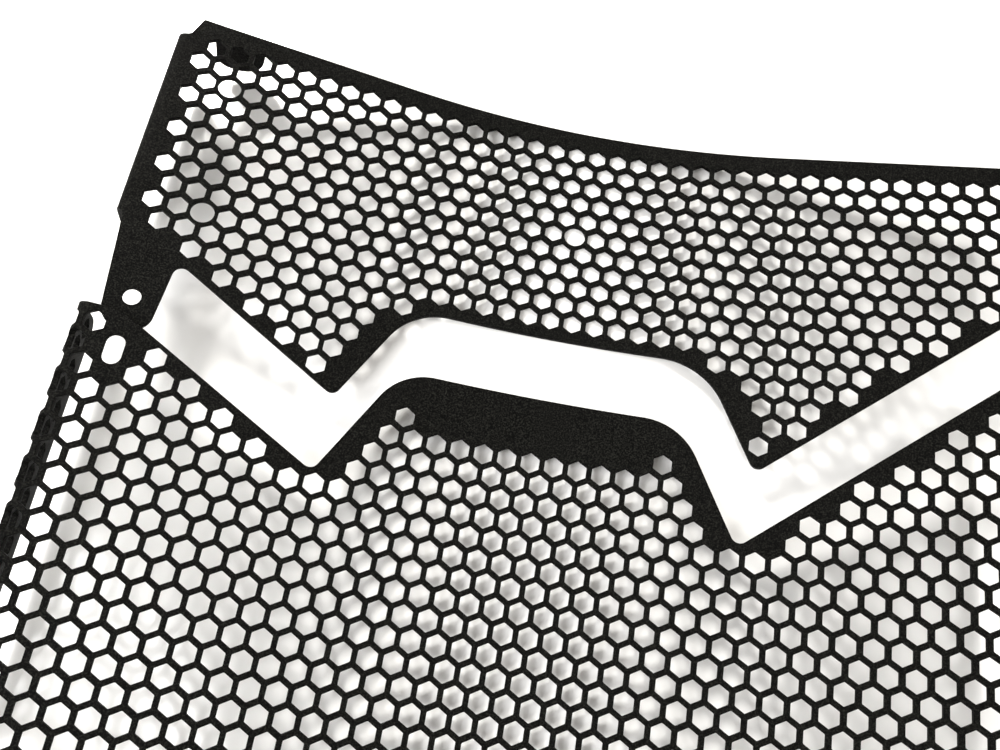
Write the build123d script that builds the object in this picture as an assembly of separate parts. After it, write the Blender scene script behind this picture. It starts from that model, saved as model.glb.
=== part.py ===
from build123d import *
from math import cos, pi, radians, sin, sqrt
import os

# Motorcycle radiator guard: two perforated sheet panels, lying concave side up.
# Plan positions are taken along the sheet from the middle of its bend and up it
# from the middle of the guard. Millimetres and degrees throughout.

# Sheet, and the wide bend the two panels share
SHEET = 2.0
BEND_RADIUS = 319.0
BEND_ANGLE = 26.5
LAP_GAP = 0.05

# Sides of both panels, and their folded-back flanges
FOLD_START = 156.3
FOLD_RADIUS = 2.0
FLANGE_DEPTH = 22.0
FLANGE_CORNER = 5.0

# Hexagon perforation, points up the sheet: the open share of the real 8.2 mm pitch, drawn coarser
HEX_PITCH = 22.2
HEX_WIDTH = 17.3
HEX_BORDER = 2.2
FLANGE_HEX_WIDTH = 13.0
UPPER_HEX_START = (0.0, 53.5)
LOWER_HEX_START = (0.0, -18.0)

# Upper panel: its flanges start below the top edge, behind a relief at each top corner
UPPER_TOP = 130.0
SIDE_STEP = 1.1
FLANGE_DROP = 7.8
UPPER_LEFT_FLANGE_END = 49.8
UPPER_RIGHT_FLANGE_END = 81.0
RELIEF_INSET = 3.2
RELIEF_WAIST = (0.7, 6.6)
RELIEF_RADIUS = 3.0
TOP_CORNER = 0.8
TOP_TAB_INSET = 7.3
TOP_TAB_WIDTH = 18.0
TOP_TAB_CORNER = 11.0

# Round holes of the upper panel: in from the left fold or the middle, and from an edge
ROUND_HOLE = 8.0
UPPER_LEFT_HOLE_INSET = 18.5
UPPER_LEFT_HOLE_DROP = 24.1
LOWER_LEFT_HOLE_INSET = 22.5
LOWER_LEFT_HOLE_RISE = 19.5
MIDDLE_HOLE_OFFSET = -2.6
MIDDLE_HOLE_DROP = 45.3

# Fixing tab at the lower left of the upper panel, its end lapped by the lower panel
TAB_INSET = 9.9
TAB_ROOT = 36.7
TAB_ROOT_WIDTH = 19.8
TAB_ROOT_RADIUS = 3.0
TAB_WIDTH = 14.8
TAB_LAP = 5.2
TAB_CORNER = 6.7
TAB_HOLE = 5.8
TAB_HOLE_RISE = 11.0

# Zig-zag lower edge of the upper panel, left to right
UPPER_LEFT_POINT = (-76.5, 4.1)
UPPER_LEFT_RISE = -56.0
UPPER_NECK = 41.9
UPPER_RIGHT_RISE = 50.4
UPPER_RIGHT_POINT = (70.6, 4.2)
UPPER_LEG_END = 72.7
POINT_RADIUS = 3.0
UPPER_LEFT_SWEEP = 22.5
UPPER_RIGHT_SWEEP = 26.0

# Lower panel and its zig-zag upper edge, left to right
LOWER_BOTTOM = -130.0
LOWER_FLANGE_RISE = 9.0
LOWER_CORNER_RADIUS = 6.0
LOWER_LEFT_TOP = 14.8
LOWER_LEFT_INSET = 8.9
LOWER_LEFT_SWEEP = 22.0
LOWER_LEFT_VALLEY = (-77.25, -22.5)
LOWER_LEFT_SHOULDER = -55.2
LOWER_PLATEAU = 17.8
LOWER_RIGHT_SHOULDER = 43.8
LOWER_RIGHT_VALLEY = (65.6, -22.3)
LOWER_RIGHT_TOP = 46.3
LOWER_RIGHT_INSET = 4.8
LOWER_RIGHT_SWEEP = 8.0
SHOULDER_LEFT_RADIUS = 20.0
SHOULDER_RIGHT_RADIUS = 22.0
PLAIN_STRIP = 20.8

# Slot in the upper left corner of the lower panel
SLOT_WIDTH = 5.9
SLOT_LENGTH = 9.9
SLOT_INSET = 10.7
SLOT_DROP = 13.2

HALF_ANGLE = radians(BEND_ANGLE / 2)
HALF_ARC = BEND_RADIUS * HALF_ANGLE
HALF_SHEET = SHEET / 2
FOLD_OUTER = FOLD_RADIUS + SHEET
ROW_STEP = HEX_PITCH * sqrt(3) / 2
REACH = 2 * FOLD_START
CUT = 4 * SHEET


def along(s, up=0.0):
    """Section point a distance s along the sheet and up from its mid-plane, as (x, z)."""
    turn = min(abs(s) / BEND_RADIUS, HALF_ANGLE)
    rest = abs(s) - turn * BEND_RADIUS
    x = (BEND_RADIUS - up) * sin(turn) + rest * cos(turn)
    z = HALF_SHEET + BEND_RADIUS - (BEND_RADIUS - up) * cos(turn) + rest * sin(turn)
    return (x if s > 0 else -x), z


def facing(s, y):
    """Plane on the mid-plane of the sheet, facing the concave side."""
    turn = max(-HALF_ANGLE, min(HALF_ANGLE, s / BEND_RADIUS))
    x, z = along(s)
    return Plane((x, y, z), x_dir=(cos(turn), 0, sin(turn)), z_dir=(-sin(turn), 0, cos(turn)))


def outline(corners):
    """Plan outline of a panel from its corners, each (s, y, corner radius)."""
    points = [(along(s)[0], y) for s, y, radius in corners]
    radii = [radius for s, y, radius in corners]
    return make_face(FilletPolyline(*points, radius=radii, close=True)).face()


def bent_sheet():
    """The bent sheet before it is cut to shape."""
    low = -HALF_SHEET
    top = HALF_SHEET
    section = make_face(
        [
            Line(along(-REACH, low), along(-HALF_ARC, low)),
            ThreePointArc(along(-HALF_ARC, low), along(0, low), along(HALF_ARC, low)),
            Line(along(HALF_ARC, low), along(REACH, low)),
            Line(along(REACH, low), along(REACH, top)),
            Line(along(REACH, top), along(HALF_ARC, top)),
            ThreePointArc(along(HALF_ARC, top), along(0, top), along(-HALF_ARC, top)),
            Line(along(-HALF_ARC, top), along(-REACH, top)),
            Line(along(-REACH, top), along(-REACH, low)),
        ]
    )
    return extrude(Plane.XZ * section, amount=REACH, both=True)


def fold(length, far_corner=FLANGE_CORNER):
    """Folded-back edge with rounded free corners, run along the line where the fold starts."""
    low = -HALF_SHEET
    top = HALF_SHEET
    middle = low - FOLD_RADIUS
    side = sin(pi / 4)
    section = make_face(
        [
            Line((0, low), (0, top)),
            ThreePointArc((0, top), (FOLD_OUTER * side, middle + FOLD_OUTER * side), (FOLD_OUTER, middle)),
            Line((FOLD_OUTER, middle), (FOLD_OUTER, top - FLANGE_DEPTH)),
            Line((FOLD_OUTER, top - FLANGE_DEPTH), (FOLD_RADIUS, top - FLANGE_DEPTH)),
            Line((FOLD_RADIUS, top - FLANGE_DEPTH), (FOLD_RADIUS, middle)),
            ThreePointArc((FOLD_RADIUS, middle), (FOLD_RADIUS * side, middle + FOLD_RADIUS * side), (0, low)),
        ]
    )
    flange = extrude(section, amount=length)
    free_corners = flange.edges().filter_by(Axis.X).group_by(Axis.Y)[0]
    flange = fillet(free_corners.sort_by(Axis.Z)[0], FLANGE_CORNER)
    free_corners = flange.edges().filter_by(Axis.X).group_by(Axis.Y)[0]
    return fillet(free_corners.sort_by(Axis.Z)[-1], far_corner)


def right_edge(y):
    """Section plane where the right side of the sheet starts to fold."""
    x, z = along(FOLD_START)
    return Plane((x, y, z), x_dir=(cos(HALF_ANGLE), 0, sin(HALF_ANGLE)), z_dir=(0, -1, 0))


def hexagon(plane, width):
    """Hexagon hole square to a plane."""
    shape = RegularPolygon(width / 2, 6, major_radius=False, rotation=30)
    return extrude(plane * shape, amount=CUT, both=True)


def fold_hexagons(low, high, start):
    """Hexagons of the right flange: every other row cuts through the fold itself."""
    room = FLANGE_HEX_WIDTH / sqrt(3) + HEX_BORDER
    corner = FOLD_OUTER * sin(pi / 4)
    middle = -HALF_SHEET - FOLD_RADIUS
    face_middle = (middle + HALF_SHEET - FLANGE_DEPTH) / 2
    hole = hexagon(Plane.YZ, FLANGE_HEX_WIDTH)
    on_fold = Pos(corner, middle + corner, 0) * Rot(0, 0, 45) * hole
    on_flange = Pos(FOLD_OUTER, face_middle, 0) * hole
    holes = []
    for row in range(int((low - start) / ROW_STEP) - 1, int((high - start) / ROW_STEP) + 2):
        y = start + row * ROW_STEP
        if low + room < y < high - room:
            holes.append(right_edge(y) * (on_fold if row % 2 == 0 else on_flange))
    return holes


def lattice(start, face):
    """Hole centres of the pattern that fall inside a panel's outline, clear of its edge."""
    edge = face.outer_wire()
    count = int(REACH / HEX_PITCH) + 1
    centres = []
    for row in range(-count, count + 1):
        for column in range(-count, count + 1):
            s = start[0] + (column + 0.5 * (row % 2)) * HEX_PITCH
            y = start[1] + row * ROW_STEP
            spot = Vector(along(s)[0], y, 0)
            if face.is_inside(spot) and edge.distance_to(spot) > HEX_WIDTH / 2 + HEX_BORDER:
                centres.append((s, y))
    return centres


def clear_of(centres, hole, radius):
    """The centres whose hexagons leave a border of sheet around a hole."""
    room = HEX_WIDTH / 2 + HEX_BORDER / 2 + radius
    return [(s, y) for s, y in centres if (s - hole[0]) ** 2 + (y - hole[1]) ** 2 > room**2]


# Upper panel
upper_side = FOLD_START + SIDE_STEP
upper_flange_top = UPPER_TOP - FLANGE_DROP
waist = FOLD_START - RELIEF_WAIST[0]
waist_height = UPPER_TOP - RELIEF_WAIST[1]
tab_middle = TAB_INSET - FOLD_START
tab_end = LOWER_LEFT_TOP - TAB_LAP
tab_corner = min(TAB_CORNER, 0.45 * TAB_WIDTH)
upper_outline = outline(
    [
        (RELIEF_INSET - FOLD_START, UPPER_TOP, TOP_CORNER),
        (-waist, waist_height, RELIEF_RADIUS),
        (-FOLD_START, upper_flange_top, 0),
        (-FOLD_START, UPPER_LEFT_FLANGE_END, 0),
        (-upper_side, UPPER_LEFT_FLANGE_END, 0),
        (tab_middle - TAB_WIDTH / 2, tab_end, tab_corner),
        (tab_middle + TAB_WIDTH / 2, tab_end, tab_corner),
        (tab_middle + TAB_ROOT_WIDTH / 2, TAB_ROOT, TAB_ROOT_RADIUS),
        (*UPPER_LEFT_POINT, POINT_RADIUS),
        (UPPER_LEFT_RISE, UPPER_NECK, UPPER_LEFT_SWEEP),
        (UPPER_RIGHT_RISE, UPPER_NECK, UPPER_RIGHT_SWEEP),
        (*UPPER_RIGHT_POINT, POINT_RADIUS),
        (upper_side, UPPER_LEG_END, POINT_RADIUS),
        (upper_side, UPPER_RIGHT_FLANGE_END, 0),
        (FOLD_START, UPPER_RIGHT_FLANGE_END, 0),
        (FOLD_START, upper_flange_top, 0),
        (waist, waist_height, RELIEF_RADIUS),
        (FOLD_START - RELIEF_INSET, UPPER_TOP, TOP_CORNER),
    ]
)
upper = bent_sheet() & extrude(upper_outline, amount=REACH, both=True)
upper_edge = right_edge(upper_flange_top)
upper += mirror(upper_edge * fold(upper_flange_top - UPPER_LEFT_FLANGE_END), about=Plane.YZ)
upper += upper_edge * fold(upper_flange_top - UPPER_RIGHT_FLANGE_END)
tab_plane = facing(TOP_TAB_INSET - FOLD_START, UPPER_TOP - FOLD_OUTER)
top_tab = fold(TOP_TAB_WIDTH, min(TOP_TAB_CORNER, 0.65 * TOP_TAB_WIDTH))
upper += Plane(tab_plane.origin, x_dir=(0, 1, 0), z_dir=tab_plane.x_dir) * top_tab
upper_hexes = lattice(UPPER_HEX_START, upper_outline)
upper_holes = [
    (UPPER_LEFT_HOLE_INSET - FOLD_START, UPPER_TOP - UPPER_LEFT_HOLE_DROP, ROUND_HOLE / 2),
    (LOWER_LEFT_HOLE_INSET - FOLD_START, TAB_ROOT + LOWER_LEFT_HOLE_RISE, ROUND_HOLE / 2),
    (MIDDLE_HOLE_OFFSET, UPPER_TOP - MIDDLE_HOLE_DROP, ROUND_HOLE / 2),
    (tab_middle, tab_end + TAB_HOLE_RISE, TAB_HOLE / 2),
]
for s, y, radius in upper_holes:
    upper_hexes = clear_of(upper_hexes, (s, y), radius)
    upper -= extrude(facing(s, y) * Circle(radius), amount=CUT, both=True)
upper -= [hexagon(facing(s, y), HEX_WIDTH) for s, y in upper_hexes]

# Lower panel, lapped over the tab
lower_flange_end = LOWER_BOTTOM + LOWER_FLANGE_RISE
slot_at = (SLOT_INSET - FOLD_START, LOWER_LEFT_TOP - SLOT_DROP)
lower_outline = outline(
    [
        (-FOLD_START, LOWER_LEFT_TOP, 0),
        (LOWER_LEFT_INSET - FOLD_START, LOWER_LEFT_TOP, LOWER_LEFT_SWEEP),
        (*LOWER_LEFT_VALLEY, POINT_RADIUS),
        (LOWER_LEFT_SHOULDER, LOWER_PLATEAU, SHOULDER_LEFT_RADIUS),
        (LOWER_RIGHT_SHOULDER, LOWER_PLATEAU, SHOULDER_RIGHT_RADIUS),
        (*LOWER_RIGHT_VALLEY, POINT_RADIUS),
        (FOLD_START - LOWER_RIGHT_INSET, LOWER_RIGHT_TOP, LOWER_RIGHT_SWEEP),
        (FOLD_START, LOWER_RIGHT_TOP, 0),
        (FOLD_START, LOWER_BOTTOM, LOWER_CORNER_RADIUS),
        (-FOLD_START, LOWER_BOTTOM, LOWER_CORNER_RADIUS),
    ]
)
lower = bent_sheet() & extrude(lower_outline, amount=REACH, both=True)
lower += mirror(right_edge(LOWER_LEFT_TOP) * fold(LOWER_LEFT_TOP - lower_flange_end), about=Plane.YZ)
lower += right_edge(LOWER_RIGHT_TOP) * fold(LOWER_RIGHT_TOP - lower_flange_end)
lower_hexes = clear_of(lattice(LOWER_HEX_START, lower_outline), slot_at, SLOT_LENGTH / 2)
strip_low = LOWER_PLATEAU - PLAIN_STRIP
on_strip = [(s, y) for s, y in lower_hexes if LOWER_LEFT_SHOULDER < s < LOWER_RIGHT_SHOULDER and y > strip_low]
lower -= [hexagon(facing(s, y), HEX_WIDTH) for s, y in lower_hexes if (s, y) not in on_strip]
left_holes = fold_hexagons(lower_flange_end, LOWER_LEFT_TOP, LOWER_HEX_START[1])
lower -= [mirror(hole, about=Plane.YZ) for hole in left_holes]
lower -= fold_hexagons(lower_flange_end, LOWER_RIGHT_TOP, LOWER_HEX_START[1])
lower -= extrude(facing(*slot_at) * SlotOverall(SLOT_LENGTH, SLOT_WIDTH, rotation=90), amount=CUT, both=True)
lower = Pos(0, 0, (SHEET + LAP_GAP) / cos(HALF_ANGLE)) * lower

os.makedirs("parts", exist_ok=True)
export_step(upper, "parts/upper_panel.step")
export_step(lower, "parts/lower_panel.step")
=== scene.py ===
from math import ceil, cos, hypot, inf, pi, radians, sin, sqrt, tan

import bpy
from mathutils import Matrix, Vector
from mathutils.geometry import delaunay_2d_cdt


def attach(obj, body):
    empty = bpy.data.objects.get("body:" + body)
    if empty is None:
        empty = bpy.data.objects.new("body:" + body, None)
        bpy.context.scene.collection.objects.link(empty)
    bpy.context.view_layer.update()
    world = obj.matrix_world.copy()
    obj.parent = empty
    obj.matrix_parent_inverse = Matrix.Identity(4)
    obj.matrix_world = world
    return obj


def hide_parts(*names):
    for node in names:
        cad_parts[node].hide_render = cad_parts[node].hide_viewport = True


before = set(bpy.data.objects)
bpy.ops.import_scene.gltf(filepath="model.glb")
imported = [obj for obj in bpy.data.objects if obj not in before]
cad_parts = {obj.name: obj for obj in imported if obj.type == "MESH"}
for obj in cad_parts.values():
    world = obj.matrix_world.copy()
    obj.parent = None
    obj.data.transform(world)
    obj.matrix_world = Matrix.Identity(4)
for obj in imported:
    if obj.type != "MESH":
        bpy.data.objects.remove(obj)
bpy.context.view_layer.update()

# Each panel is drawn flat, in millimetres along the sheet (s) and up it (y), with its
# outline and every hole as a loop, then triangulated and bent into shape.

MM = 0.001

# Sheet, its wide bend and its folded-back flanges, as in the solids
SHEET = 2.0
BEND_RADIUS = 319.0
HALF_ANGLE = radians(26.5 / 2)
LAP_GAP = 0.05
FOLD_START = 156.3
FOLD_RADIUS = 2.0
FLANGE_DEPTH = 22.0
FLANGE_CORNER = 5.0
EDGE_ROUNDING = 0.2

HALF_SHEET = SHEET / 2
FOLD_MIDDLE = FOLD_RADIUS + HALF_SHEET
FOLD_LENGTH = FOLD_MIDDLE * pi / 2
FLANGE_EDGE = FOLD_START + FOLD_LENGTH + FLANGE_DEPTH - SHEET - FOLD_RADIUS
LIFT = (SHEET + LAP_GAP) / cos(HALF_ANGLE)

# Hexagon perforation, points up the sheet, and the room it leaves at edges and borders
PITCH = 8.2
HEX_WIDTH = 6.4
HEX_CORNER = 0.18
ROW = PITCH * sqrt(3) / 2
ROWS = 32
COLUMNS = 46
EDGE_ROOM = 4.55
BORDER_ROOM = 9.0

# Upper panel
UPPER_TOP = 130.0
UPPER_SIDE = 157.4
UPPER_FLANGE_TOP = 122.2
LEFT_FLANGE_END = 49.8
RIGHT_FLANGE_END = 81.0
NOTCH_RADIUS = 3.0
TOP_CORNER = 0.8
RELIEF_TOP = 153.1
RELIEF_FOOT = 155.95
RELIEF_RADIUS = 2.0
TAB_LEFT = -153.8
TAB_RIGHT = -139.0
TAB_END = 9.6
TAB_CORNER = 6.7
TAB_ROOT_SIDE = -136.5
TAB_ROOT = 36.7
TAB_ROOT_RADIUS = 3.0
TAB_PLAIN_TOP = 47.5
TAB_HOLE = 5.8
TAB_HOLE_AT = (-146.4, 20.6)
UPPER_LEFT_POINT = (-76.5, 4.1)
UPPER_LEFT_RISE = -56.0
UPPER_LEFT_SWEEP = 22.5
UPPER_NECK = 41.9
UPPER_RIGHT_RISE = 50.4
UPPER_RIGHT_SWEEP = 26.0
UPPER_RIGHT_POINT = (70.6, 4.2)
UPPER_LEG_END = 72.7
POINT_RADIUS = 3.0

# Its holes: hexagons end before the folds and start again on the flanges
UPPER_START = (-2.6, 84.7)
UPPER_REACH = 151.0
UPPER_FLANGE_REACH = 165.0
UPPER_PLAIN = ((58.9, 35.0), (67.1, 20.8))
ROUND_HOLE = 8.0
ROUND_HOLES = ((-137.8, 105.9), (-133.8, 56.2), (-2.6, 84.7))

# Its tab behind the top edge
TOP_TAB_LEFT = -149.0
TOP_TAB_WIDTH = 18.0
TOP_TAB_CORNER = 11.0
TOP_TAB_FOOT = 1.0
TOP_TAB_FOOT_CORNER = 0.4
TOP_TAB_RIGHT = TOP_TAB_LEFT + TOP_TAB_WIDTH
TOP_TAB_END = FOLD_LENGTH + FLANGE_DEPTH - SHEET - FOLD_RADIUS

UPPER_OUTLINE = (
    (-RELIEF_TOP, UPPER_TOP, TOP_CORNER),
    (-RELIEF_FOOT, UPPER_FLANGE_TOP, RELIEF_RADIUS),
    (-FLANGE_EDGE, UPPER_FLANGE_TOP, FLANGE_CORNER),
    (-FLANGE_EDGE, LEFT_FLANGE_END, FLANGE_CORNER),
    (-UPPER_SIDE, LEFT_FLANGE_END, NOTCH_RADIUS),
    (TAB_LEFT, TAB_END, TAB_CORNER),
    (TAB_RIGHT, TAB_END, TAB_CORNER),
    (TAB_ROOT_SIDE, TAB_ROOT, TAB_ROOT_RADIUS),
    (*UPPER_LEFT_POINT, POINT_RADIUS),
    (UPPER_LEFT_RISE, UPPER_NECK, UPPER_LEFT_SWEEP),
    (UPPER_RIGHT_RISE, UPPER_NECK, UPPER_RIGHT_SWEEP),
    (*UPPER_RIGHT_POINT, POINT_RADIUS),
    (UPPER_SIDE, UPPER_LEG_END, POINT_RADIUS),
    (UPPER_SIDE, RIGHT_FLANGE_END, NOTCH_RADIUS),
    (FLANGE_EDGE, RIGHT_FLANGE_END, FLANGE_CORNER),
    (FLANGE_EDGE, UPPER_FLANGE_TOP, FLANGE_CORNER),
    (RELIEF_FOOT, UPPER_FLANGE_TOP, RELIEF_RADIUS),
    (RELIEF_TOP, UPPER_TOP, TOP_CORNER),
)
TOP_TAB_OUTLINE = (
    (TOP_TAB_LEFT, TOP_TAB_FOOT, TOP_TAB_FOOT_CORNER),
    (TOP_TAB_RIGHT, TOP_TAB_FOOT, TOP_TAB_FOOT_CORNER),
    (TOP_TAB_RIGHT, TOP_TAB_END, TOP_TAB_CORNER),
    (TOP_TAB_LEFT, TOP_TAB_END, FLANGE_CORNER),
)

# Lower panel
LOWER_BOTTOM = -130.0
LOWER_FLANGE_END = -121.0
LOWER_STEP_CORNER = 0.4
LOWER_CORNER_RADIUS = 6.0
LOWER_LEFT_TOP = 14.8
LOWER_LEFT_CORNER = -147.4
LOWER_LEFT_SWEEP = 22.0
LOWER_LEFT_VALLEY = (-77.25, -22.5)
LOWER_LEFT_SHOULDER = -55.2
SHOULDER_LEFT_RADIUS = 20.0
LOWER_PLATEAU = 17.8
LOWER_RIGHT_SHOULDER = 43.8
SHOULDER_RIGHT_RADIUS = 22.0
LOWER_RIGHT_VALLEY = (65.6, -22.3)
LOWER_RIGHT_CORNER = 151.5
LOWER_RIGHT_SWEEP = 8.0
LOWER_RIGHT_TOP = 46.3

# Its holes: one hexagon beside the slot lies off the pattern, and a strip stays plain
LOWER_START = (6.4, -12.1)
LOWER_EXTRA = (-133.0, 2.1)
FLANGE_ROOM = 7.4
SLOT_WIDTH = 5.9
SLOT_LENGTH = 9.9
SLOT_AT = (-145.6, 1.6)
SLOT_ROOM = 8.5
STRIP = (-50.0, 38.0)
STRIP_LOW = 0.0

LOWER_OUTLINE = (
    (-FLANGE_EDGE, LOWER_LEFT_TOP, FLANGE_CORNER),
    (-FLANGE_EDGE, LOWER_FLANGE_END, FLANGE_CORNER),
    (-FOLD_START, LOWER_FLANGE_END, LOWER_STEP_CORNER),
    (-FOLD_START, LOWER_BOTTOM, LOWER_CORNER_RADIUS),
    (FOLD_START, LOWER_BOTTOM, LOWER_CORNER_RADIUS),
    (FOLD_START, LOWER_FLANGE_END, LOWER_STEP_CORNER),
    (FLANGE_EDGE, LOWER_FLANGE_END, FLANGE_CORNER),
    (FLANGE_EDGE, LOWER_RIGHT_TOP, FLANGE_CORNER),
    (LOWER_RIGHT_CORNER, LOWER_RIGHT_TOP, LOWER_RIGHT_SWEEP),
    (*LOWER_RIGHT_VALLEY, POINT_RADIUS),
    (LOWER_RIGHT_SHOULDER, LOWER_PLATEAU, SHOULDER_RIGHT_RADIUS),
    (LOWER_LEFT_SHOULDER, LOWER_PLATEAU, SHOULDER_LEFT_RADIUS),
    (*LOWER_LEFT_VALLEY, POINT_RADIUS),
    (LOWER_LEFT_CORNER, LOWER_LEFT_TOP, LOWER_LEFT_SWEEP),
)

# Spacing of points along loops
FOLD_MARGIN = 1.0
FINE_STEP = 0.5
COARSE_STEP = 4.0
END_GAP = 0.2
ARC_STEP = 0.7
ARC_TURN = radians(18)
ARC_LEAST_STEPS = 2
ARC_LEAST_RADIUS = 1.0
HEX_FOLD_STEPS = 4
SLOT_END_STEPS = 16

# Spacing of loose points between the loops, on the bend, in the folds and on the top tab
BEND_COLUMNS = 18
BEND_COLUMN = 4.3
BEND_FIRST_ROW = 1.0
BEND_ROW = 5.0
BEND_POINT_ROOM = 2.0
FOLD_COLUMNS = 10
FOLD_FIRST_ROW = 0.4
FOLD_ROW = 0.9
FOLD_POINT_ROOM = 0.55
CELL = 4.0
HOLE_REACH = 12.0
TAB_COLUMNS = 17
TAB_FIRST_COLUMN = 0.8
TAB_ROWS = 10
TAB_FIRST_ROW = 1.3
TAB_ROW = 0.4

# Length over which a fold opens out below the end of its flange
OPEN_OUT = 5.0

# Settings of the triangulation, which works on a turned copy of the flat points
FLAT_TURN = 0.4
INSIDE_ONLY = 1
MERGE_WITHIN = 1e-6

# Colours of the coat and the table, each from dark to light, as a place on the ramp and a colour
COAT_DARK = (0.46, (0.0004, 0.0004, 0.0003, 1))
COAT_LIGHT = (0.72, (0.0155, 0.0155, 0.0132, 1))
TABLE_DARK = (0.0, (0.86, 0.855, 0.84, 1))
TABLE_LIGHT = (1.0, (0.90, 0.895, 0.885, 1))

# Table and fill light, in metres
TABLE_SIZE = 6
TABLE_DROP = 0.0003
FILL_COLOUR = (1.0, 0.955, 0.89, 1)
FILL_STRENGTH = 0.64

# Lights, each with its place and diameter in metres, its power in watts and its colour
LIGHTS = (
    ("left_softbox", (-0.45, -0.25, 0.55), 0.5, 6.3, (0.985, 0.99, 1.0)),
    ("back_softbox", (-0.50, 0.70, 0.74), 0.22, 12, (1.0, 0.98, 0.94)),
    ("right_softbox", (1.0, 0.1, 1.0), 0.3, 7, (1.0, 0.99, 0.97)),
)

# Camera at the photograph's viewpoint, in millimetres apart from its near limit in metres
CAMERA_AT = Vector((-24.27, -66.1, 277.97))
CAMERA_AIM = Vector((-21.34, 25.48, 0.0))
CAMERA_ROLL = radians(10.107)
LENS = 29.372
SENSOR = 36
NEAR_LIMIT = 0.01


def near_fold(s):
    """Whether a place along the sheet lies in a fold or just beside it."""
    return FOLD_START - FOLD_MARGIN < abs(s) < FOLD_START + FOLD_LENGTH + FOLD_MARGIN


def straight(a, b, normal):
    """Points of a loop from a to b, close together where the sheet folds; b is left out."""
    length = hypot(b[0] - a[0], b[1] - a[1])
    points = []
    travelled = 0.0
    while travelled < length - END_GAP:
        k = travelled / length
        s = a[0] + (b[0] - a[0]) * k
        points.append((s, a[1] + (b[1] - a[1]) * k, *normal))
        to_fold = abs(abs(s) - FOLD_START) - FOLD_MARGIN
        travelled += FINE_STEP if near_fold(s) else min(COARSE_STEP, max(FINE_STEP, to_fold))
    return points


def outline_loop(corners):
    """Loop of a panel's outline, counter-clockwise, from corners given as (s, y, radius)."""
    ends = []
    count = len(corners)
    for i, (s, y, radius) in enumerate(corners):
        here = Vector((s, y))
        back = (Vector(corners[i - 1][:2]) - here).normalized()
        ahead = (Vector(corners[(i + 1) % count][:2]) - here).normalized()
        half = back.angle(ahead) / 2
        reach = radius / tan(half)
        centre = here + (back + ahead).normalized() * (radius / sin(half))
        ends.append((here + back * reach, here + ahead * reach, centre, back, ahead))
    loop = []
    for i, (start, end, centre, back, ahead) in enumerate(ends):
        outer = 1 if back.cross(ahead) < 0 else -1
        spoke_length = (start - centre).length
        first = (start - centre).normalized()
        last = (end - centre).normalized()
        turn = first.angle_signed(last)
        steps_by_length = ceil(abs(turn) * max(ARC_LEAST_RADIUS, spoke_length) / ARC_STEP)
        steps = max(ARC_LEAST_STEPS, steps_by_length, ceil(abs(turn) / ARC_TURN))
        for k in range(steps):
            spoke = Matrix.Rotation(-turn * k / steps, 2) @ first
            point = centre + spoke * spoke_length
            loop.append((*point, *(spoke * outer)))
        following = ends[(i + 1) % count][0]
        loop += straight(end, following, last * outer)
    return loop


def hexagon_loop(s, y):
    """Loop of one hexagon hole, clockwise, with more points where it crosses a fold."""
    half = HEX_WIDTH / 2
    run = half * tan(pi / 6) - HEX_CORNER
    folded = any(near_fold(abs(s) + side * half) for side in (-1, 0, 1))
    steps = HEX_FOLD_STEPS if folded else 1
    loop = []
    for flat in range(6):
        turn = -flat * pi / 3
        for k in range(steps + 1):
            t = run * (2 * k / steps - 1)
            point_s = s + half * cos(turn) + t * sin(turn)
            point_y = y + half * sin(turn) - t * cos(turn)
            loop.append((point_s, point_y, -cos(turn), -sin(turn)))
    return loop


def slot_loop(s, y, width, length):
    """Loop of a round-ended slot up the sheet, clockwise; a round hole has equal width and length."""
    radius = width / 2
    loop = []
    for end in (1, -1):
        middle = y + end * (length - width) / 2
        for k in range(SLOT_END_STEPS + 1):
            turn = end * pi / 2 + pi / 2 - pi * k / SLOT_END_STEPS
            loop.append((s + radius * cos(turn), middle + radius * sin(turn), -cos(turn), -sin(turn)))
    if length > width:
        return loop
    doubled = (SLOT_END_STEPS, 2 * SLOT_END_STEPS + 1)
    return [point for i, point in enumerate(loop) if i not in doubled]


def round_hole(s, y, width):
    """Loop of a round hole."""
    return slot_loop(s, y, width, width)


def inside(s, y, loop):
    """Whether a point lies within a loop."""
    odd = False
    for (a, b, *_), (c, d, *_) in zip(loop, loop[1:] + loop[:1]):
        if (b > y) != (d > y) and s < a + (y - b) / (d - b) * (c - a):
            odd = not odd
    return odd


def clearance(s, y, loop):
    """Distance from a point to a loop."""
    nearest = inf
    for (a, b, *_), (c, d, *_) in zip(loop, loop[1:] + loop[:1]):
        along = ((s - a) * (c - a) + (y - b) * (d - b)) / ((c - a) ** 2 + (d - b) ** 2)
        along = min(1, max(0, along))
        nearest = min(nearest, hypot(s - a - along * (c - a), y - b - along * (d - b)))
    return nearest


def lattice(start, outline):
    """Hole centres of the hexagon pattern that lie clear of a panel's outline."""
    centres = []
    for row in range(-ROWS, ROWS + 1):
        for column in range(-COLUMNS, COLUMNS + 1):
            s = start[0] + (column + 0.5 * (row % 2)) * PITCH
            y = start[1] + row * ROW
            if inside(s, y, outline) and clearance(s, y, outline) > EDGE_ROOM:
                centres.append((s, y))
    return centres


def cell_of(s, y):
    """Square of a coarse grid that a flat position lies in."""
    return round(s / CELL), round(y / CELL)


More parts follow.
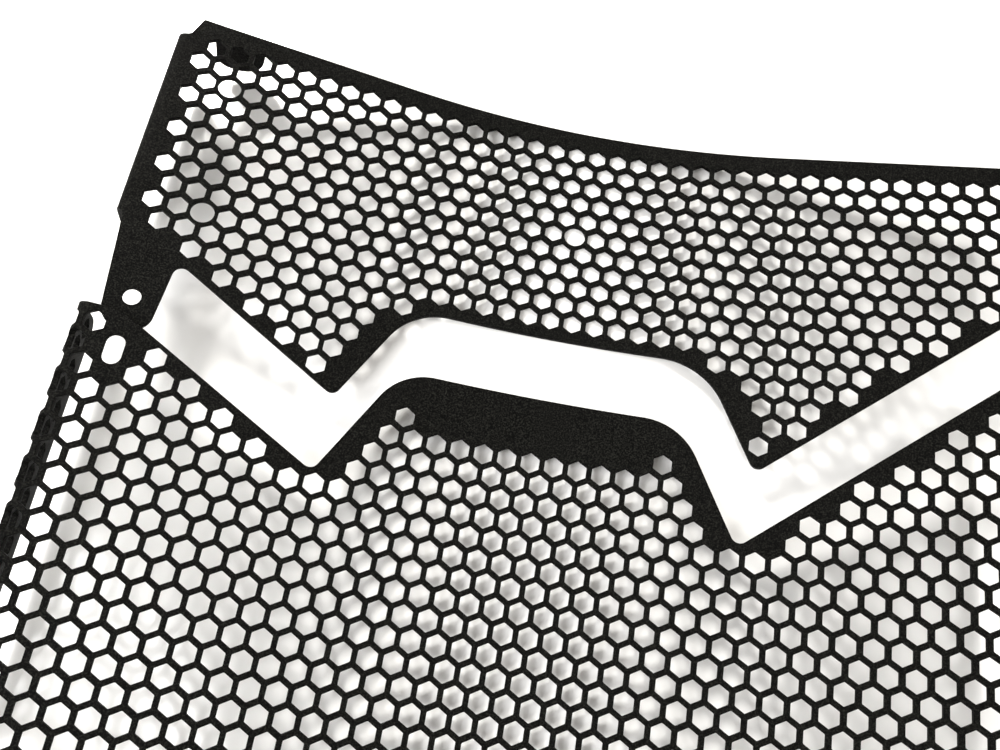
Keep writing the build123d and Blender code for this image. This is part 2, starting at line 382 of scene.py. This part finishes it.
def fill_points(outline, holes):
    """Loose points that let the plain stretches of a panel follow the bend and the folds."""
    spots = []
    low = min(point[1] for point in outline)
    high = max(point[1] for point in outline)
    y = low + BEND_FIRST_ROW
    while y < high:
        for k in range(-BEND_COLUMNS, BEND_COLUMNS + 1):
            spots.append((k * BEND_COLUMN, y))
        y += BEND_ROW
    y = low + FOLD_FIRST_ROW
    while y < high:
        for k in range(FOLD_COLUMNS + 1):
            for side in (-1, 1):
                spots.append((side * (FOLD_START + FOLD_LENGTH * k / FOLD_COLUMNS), y))
        y += FOLD_ROW
    near = {}
    for loop in [outline] + holes:
        for point in loop:
            near.setdefault(cell_of(*point[:2]), []).append(point)
    kept = []
    for s, y in spots:
        room = FOLD_POINT_ROOM if near_fold(s) else BEND_POINT_ROOM
        column, row = cell_of(s, y)
        cells = [(column + i, row + j) for i in (-1, 0, 1) for j in (-1, 0, 1)]
        beside = [point for cell in cells for point in near.get(cell, [])]
        if any(hypot(s - p[0], y - p[1]) < room for p in beside):
            continue
        close = [hole for hole in holes if hypot(s - hole[0][0], y - hole[0][1]) < HOLE_REACH]
        if any(inside(s, y, hole) for hole in close):
            continue
        if inside(s, y, outline):
            kept.append((s, y))
    return kept


def bent(s, y, flat_below):
    """Middle of the sheet at a flat position, and the angle of the sheet there."""
    a = abs(s)
    turn = min(a / BEND_RADIUS, HALF_ANGLE)
    run = min(a, FOLD_START) - turn * BEND_RADIUS
    past = a - FOLD_START
    if past > 0:
        flat_share = min(1, max(0, (flat_below[s > 0] - y) / OPEN_OUT))
        run += past * flat_share
        past -= past * flat_share
    x = BEND_RADIUS * sin(turn) + run * cos(turn)
    z = HALF_SHEET + BEND_RADIUS * (1 - cos(turn)) + run * sin(turn)
    if past > 0:
        fold = min(past / FOLD_MIDDLE, pi / 2)
        over = FOLD_MIDDLE * sin(fold)
        down = FOLD_MIDDLE * (1 - cos(fold)) + past - fold * FOLD_MIDDLE
        x += over * cos(turn) + down * sin(turn)
        z += over * sin(turn) - down * cos(turn)
        turn -= fold
    side = 1 if s > 0 else -1
    return x * side, z, turn * side


def panel_place(flat_below, lift):
    """Placing function of a panel: flat position to a point, its face normal and its two runs."""

    def place(s, y, up):
        x, z, turn = bent(s, y, flat_below)
        normal = Vector((-sin(turn), 0, cos(turn)))
        point = Vector((x, y, z + lift)) + normal * up
        return point * MM, normal, Vector((cos(turn), 0, sin(turn))), Vector((0, 1, 0))

    return place


def top_tab_place(s, v, up):
    """Placing function of the tab behind the top edge: v runs up the sheet and over the fold."""
    x, z, turn = bent(s, UPPER_TOP, (0, 0))
    normal = Vector((-sin(turn), 0, cos(turn)))
    fold = min(v / FOLD_MIDDLE, pi / 2)
    run = max(0, v - FOLD_LENGTH)
    back = FOLD_MIDDLE * (1 - cos(fold)) + run
    y = UPPER_TOP - SHEET - FOLD_RADIUS + FOLD_MIDDLE * sin(fold)
    facing = normal * cos(fold) + Vector((0, sin(fold), 0))
    point = Vector((x, y, z)) - normal * back + facing * up
    upward = Vector((0, cos(fold), 0)) - normal * sin(fold)
    return point * MM, facing, Vector((cos(turn), 0, sin(turn))), upward


def sheet_mesh(outline, holes, loose, place):
    """Vertices, faces and corner normals of a sheet with softly rounded edges."""
    loops = [outline] + holes
    flat = []
    edges = []
    owner = []
    for number, loop in enumerate(loops):
        first = len(flat)
        for i, (s, y, ns, ny) in enumerate(loop):
            flat.append(Vector((s - EDGE_ROUNDING * ns, y - EDGE_ROUNDING * ny)))
            edges.append((first + i, first + (i + 1) % len(loop)))
            owner.append(number)
    flat += [Vector(spot) for spot in loose]
    owner += [0] * len(loose)
    spin = Matrix.Rotation(FLAT_TURN, 2)
    spun = [spin @ spot for spot in flat]
    _, _, triangles, origin, _, _ = delaunay_2d_cdt(spun, edges, [], INSIDE_ONLY, MERGE_WITHIN)

    # Front and back, without the triangles that lie within a hole
    verts = []
    faces = []
    normals = []
    total = len(flat)
    face_normals = [place(s, y, 0)[1] for s, y in flat]
    for up in (HALF_SHEET, -HALF_SHEET):
        verts += [place(s, y, up)[0] for s, y in flat]
    for triangle in triangles:
        a, b, c = (origin[corner][0] for corner in triangle)
        if owner[a] == owner[b] == owner[c] != 0:
            continue
        faces.append((a, b, c))
        normals += [face_normals[a], face_normals[b], face_normals[c]]
        faces.append((total + c, total + b, total + a))
        normals += [-face_normals[c], -face_normals[b], -face_normals[a]]

    # Walls along every loop, with a rounded strip at the front and at the back
    index = 0
    for loop in loops:
        rings = []
        for s, y, ns, ny in loop:
            _, _, along, upward = place(s, y, 0)
            wall = (along * ns + upward * ny).normalized()
            high = len(verts)
            verts.append(place(s, y, HALF_SHEET - EDGE_ROUNDING)[0])
            verts.append(place(s, y, EDGE_ROUNDING - HALF_SHEET)[0])
            rings.append(((index, high, high + 1, index + total), face_normals[index], wall))
            index += 1
        for here, after in zip(rings, rings[1:] + rings[:1]):
            ring, front, wall = here
            next_ring, next_front, next_wall = after
            for k in range(3):
                faces.append((ring[k], ring[k + 1], next_ring[k + 1], next_ring[k]))
            normals += [front, wall, next_wall, next_front]
            normals += [wall, wall, next_wall, next_wall]
            normals += [wall, -front, -next_front, next_wall]
    return verts, faces, normals


def add_piece(name, node, parts):
    """One object from sheets that belong to the same panel, in place of its solid."""
    verts = []
    faces = []
    normals = []
    for part_verts, part_faces, part_normals in parts:
        faces += [tuple(i + len(verts) for i in face) for face in part_faces]
        verts += part_verts
        normals += part_normals
    mesh = bpy.data.meshes.new(name)
    mesh.from_pydata(verts, [], faces)
    mesh.polygons.foreach_set("use_smooth", [True] * len(faces))
    mesh.normals_split_custom_set(normals)
    mesh.update()
    piece = bpy.data.objects.new(name, mesh)
    bpy.context.scene.collection.objects.link(piece)
    piece.data.materials.append(powder_coat)
    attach(piece, "root")
    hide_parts(node)


def node_tree(name):
    """New material with its node tree, principled shader and a helper to link sockets."""
    material = bpy.data.materials.new(name)
    material.use_nodes = True
    tree = material.node_tree
    return material, tree.nodes, tree.links.new, tree.nodes["Principled BSDF"]


def add_noise(nodes, link, place, scale, detail):
    """Noise laid out in the object's own space."""
    noise = nodes.new("ShaderNodeTexNoise")
    noise.inputs["Scale"].default_value = scale
    noise.inputs["Detail"].default_value = detail
    link(place.outputs["Object"], noise.inputs["Vector"])
    return noise


def colour_by(nodes, link, noise, stops, shader):
    """Base colour that follows a noise between two stops."""
    colour = nodes.new("ShaderNodeValToRGB")
    for element, (position, tone) in zip(colour.color_ramp.elements, stops):
        element.position = position
        element.color = tone
    link(noise.outputs["Fac"], colour.inputs["Fac"])
    link(colour.outputs["Color"], shader.inputs["Base Color"])


def make_powder_coat():
    """Near-black satin powder coat with a fine pebbled grain."""
    material, nodes, link, shader = node_tree("black_powder_coat")
    place = nodes.new("ShaderNodeTexCoord")
    grain = add_noise(nodes, link, place, scale=1950, detail=2.5)
    grain.inputs["Roughness"].default_value = 0.6
    patches = add_noise(nodes, link, place, scale=60, detail=3)
    colour_by(nodes, link, grain, (COAT_DARK, COAT_LIGHT), shader)
    rough = nodes.new("ShaderNodeMapRange")
    rough.inputs["From Min"].default_value = 0.3
    rough.inputs["From Max"].default_value = 0.7
    rough.inputs["To Min"].default_value = 0.60
    rough.inputs["To Max"].default_value = 0.72
    link(patches.outputs["Fac"], rough.inputs["Value"])
    link(rough.outputs["Result"], shader.inputs["Roughness"])
    bump = nodes.new("ShaderNodeBump")
    bump.inputs["Strength"].default_value = 0.6
    bump.inputs["Distance"].default_value = 0.00025
    link(grain.outputs["Fac"], bump.inputs["Height"])
    link(bump.outputs["Normal"], shader.inputs["Normal"])
    shader.inputs["Specular IOR Level"].default_value = 0.045
    return material


def make_floor():
    """White, slightly glossy table top."""
    material, nodes, link, shader = node_tree("table_top")
    place = nodes.new("ShaderNodeTexCoord")
    mottle = add_noise(nodes, link, place, scale=9, detail=3)
    colour_by(nodes, link, mottle, (TABLE_DARK, TABLE_LIGHT), shader)
    shader.inputs["Roughness"].default_value = 0.14
    shader.inputs["Specular IOR Level"].default_value = 0.5
    bpy.ops.mesh.primitive_plane_add(size=TABLE_SIZE, location=(0, 0, -TABLE_DROP))
    floor = bpy.context.object
    floor.name = "table"
    floor.data.materials.append(material)


def add_fill():
    """Even light from all around."""
    world = bpy.data.worlds.new("room")
    world.use_nodes = True
    background = world.node_tree.nodes["Background"]
    background.inputs["Color"].default_value = FILL_COLOUR
    background.inputs["Strength"].default_value = FILL_STRENGTH
    bpy.context.scene.world = world


def add_light(name, at, size, power, colour):
    """Round soft light turned to the middle of the guard."""
    data = bpy.data.lights.new(name, "AREA")
    data.shape = "DISK"
    data.size = size
    data.energy = power
    data.color = colour
    light = bpy.data.objects.new(name, data)
    light.location = at
    light.rotation_euler = (-Vector(at)).to_track_quat("-Z", "Y").to_euler()
    bpy.context.scene.collection.objects.link(light)


def add_camera():
    """Camera that looks down on the guard as the photograph does."""
    camera = bpy.data.objects.new("photo_camera", bpy.data.cameras.new("photo_camera"))
    camera.data.lens = LENS
    camera.data.sensor_width = SENSOR
    camera.data.sensor_fit = "HORIZONTAL"
    camera.data.clip_start = NEAR_LIMIT
    back = (CAMERA_AT - CAMERA_AIM).normalized()
    right = Vector((0, 1, 0)).cross(back).normalized()
    level = Matrix((right, back.cross(right), back)).transposed()
    rolled = level @ Matrix.Rotation(CAMERA_ROLL, 3, "Z")
    camera.matrix_world = Matrix.LocRotScale(CAMERA_AT * MM, rolled, None)
    bpy.context.scene.collection.objects.link(camera)
    bpy.context.scene.camera = camera


powder_coat = make_powder_coat()

# Upper panel: hexagons, three round holes in place of hexagons, and the tab's hole
upper_outline = outline_loop(UPPER_OUTLINE)
upper_hexes = [
    (s, y)
    for s, y in lattice(UPPER_START, upper_outline)
    if (abs(s) < UPPER_REACH or abs(s) > UPPER_FLANGE_REACH)
    and y < UPPER_TOP - BORDER_ROOM
    and not (s < TAB_ROOT_SIDE and y < TAB_PLAIN_TOP)
    and all(hypot(s - a, y - b) > PITCH / 2 for a, b in ROUND_HOLES + UPPER_PLAIN)
]
upper_holes = [hexagon_loop(s, y) for s, y in upper_hexes]
upper_holes += [round_hole(s, y, ROUND_HOLE) for s, y in ROUND_HOLES]
upper_holes.append(round_hole(*TAB_HOLE_AT, TAB_HOLE))
upper_place = panel_place((LEFT_FLANGE_END - NOTCH_RADIUS, RIGHT_FLANGE_END - NOTCH_RADIUS), 0)
upper_sheet = sheet_mesh(upper_outline, upper_holes, fill_points(upper_outline, upper_holes), upper_place)

# Its tab behind the top edge, with loose points where it folds
tab_points = [
    (TOP_TAB_LEFT + TAB_FIRST_COLUMN + column, TAB_FIRST_ROW + TAB_ROW * row)
    for row in range(TAB_ROWS)
    for column in range(TAB_COLUMNS)
]
top_tab = sheet_mesh(outline_loop(TOP_TAB_OUTLINE), [], tab_points, top_tab_place)
add_piece("upper_perforated_sheet", "upper_panel", [upper_sheet, top_tab])

# Lower panel: its hexagons run on over both folds, and a strip along the plateau is plain
lower_outline = outline_loop(LOWER_OUTLINE)
lower_hexes = [
    (s, y)
    for s, y in lattice(LOWER_START, lower_outline)
    if abs(s) < FLANGE_EDGE - FLANGE_ROOM
    and y > LOWER_BOTTOM + BORDER_ROOM
    and hypot(s - SLOT_AT[0], y - SLOT_AT[1]) > SLOT_ROOM
    and not (STRIP[0] < s < STRIP[1] and y > STRIP_LOW)
]
lower_holes = [hexagon_loop(s, y) for s, y in lower_hexes + [LOWER_EXTRA]]
lower_holes.append(slot_loop(*SLOT_AT, SLOT_WIDTH, SLOT_LENGTH))
lower_place = panel_place((LOWER_BOTTOM, LOWER_BOTTOM), LIFT)
lower_sheet = sheet_mesh(lower_outline, lower_holes, fill_points(lower_outline, lower_holes), lower_place)
add_piece("lower_perforated_sheet", "lower_panel", [lower_sheet])

# Table, light and camera
make_floor()
add_fill()
for light in LIGHTS:
    add_light(*light)
add_camera()
bpy.context.scene.view_settings.view_transform = "Standard"
bpy.context.scene.view_settings.look = "None"
bpy.context.scene.view_settings.exposure = 0.0
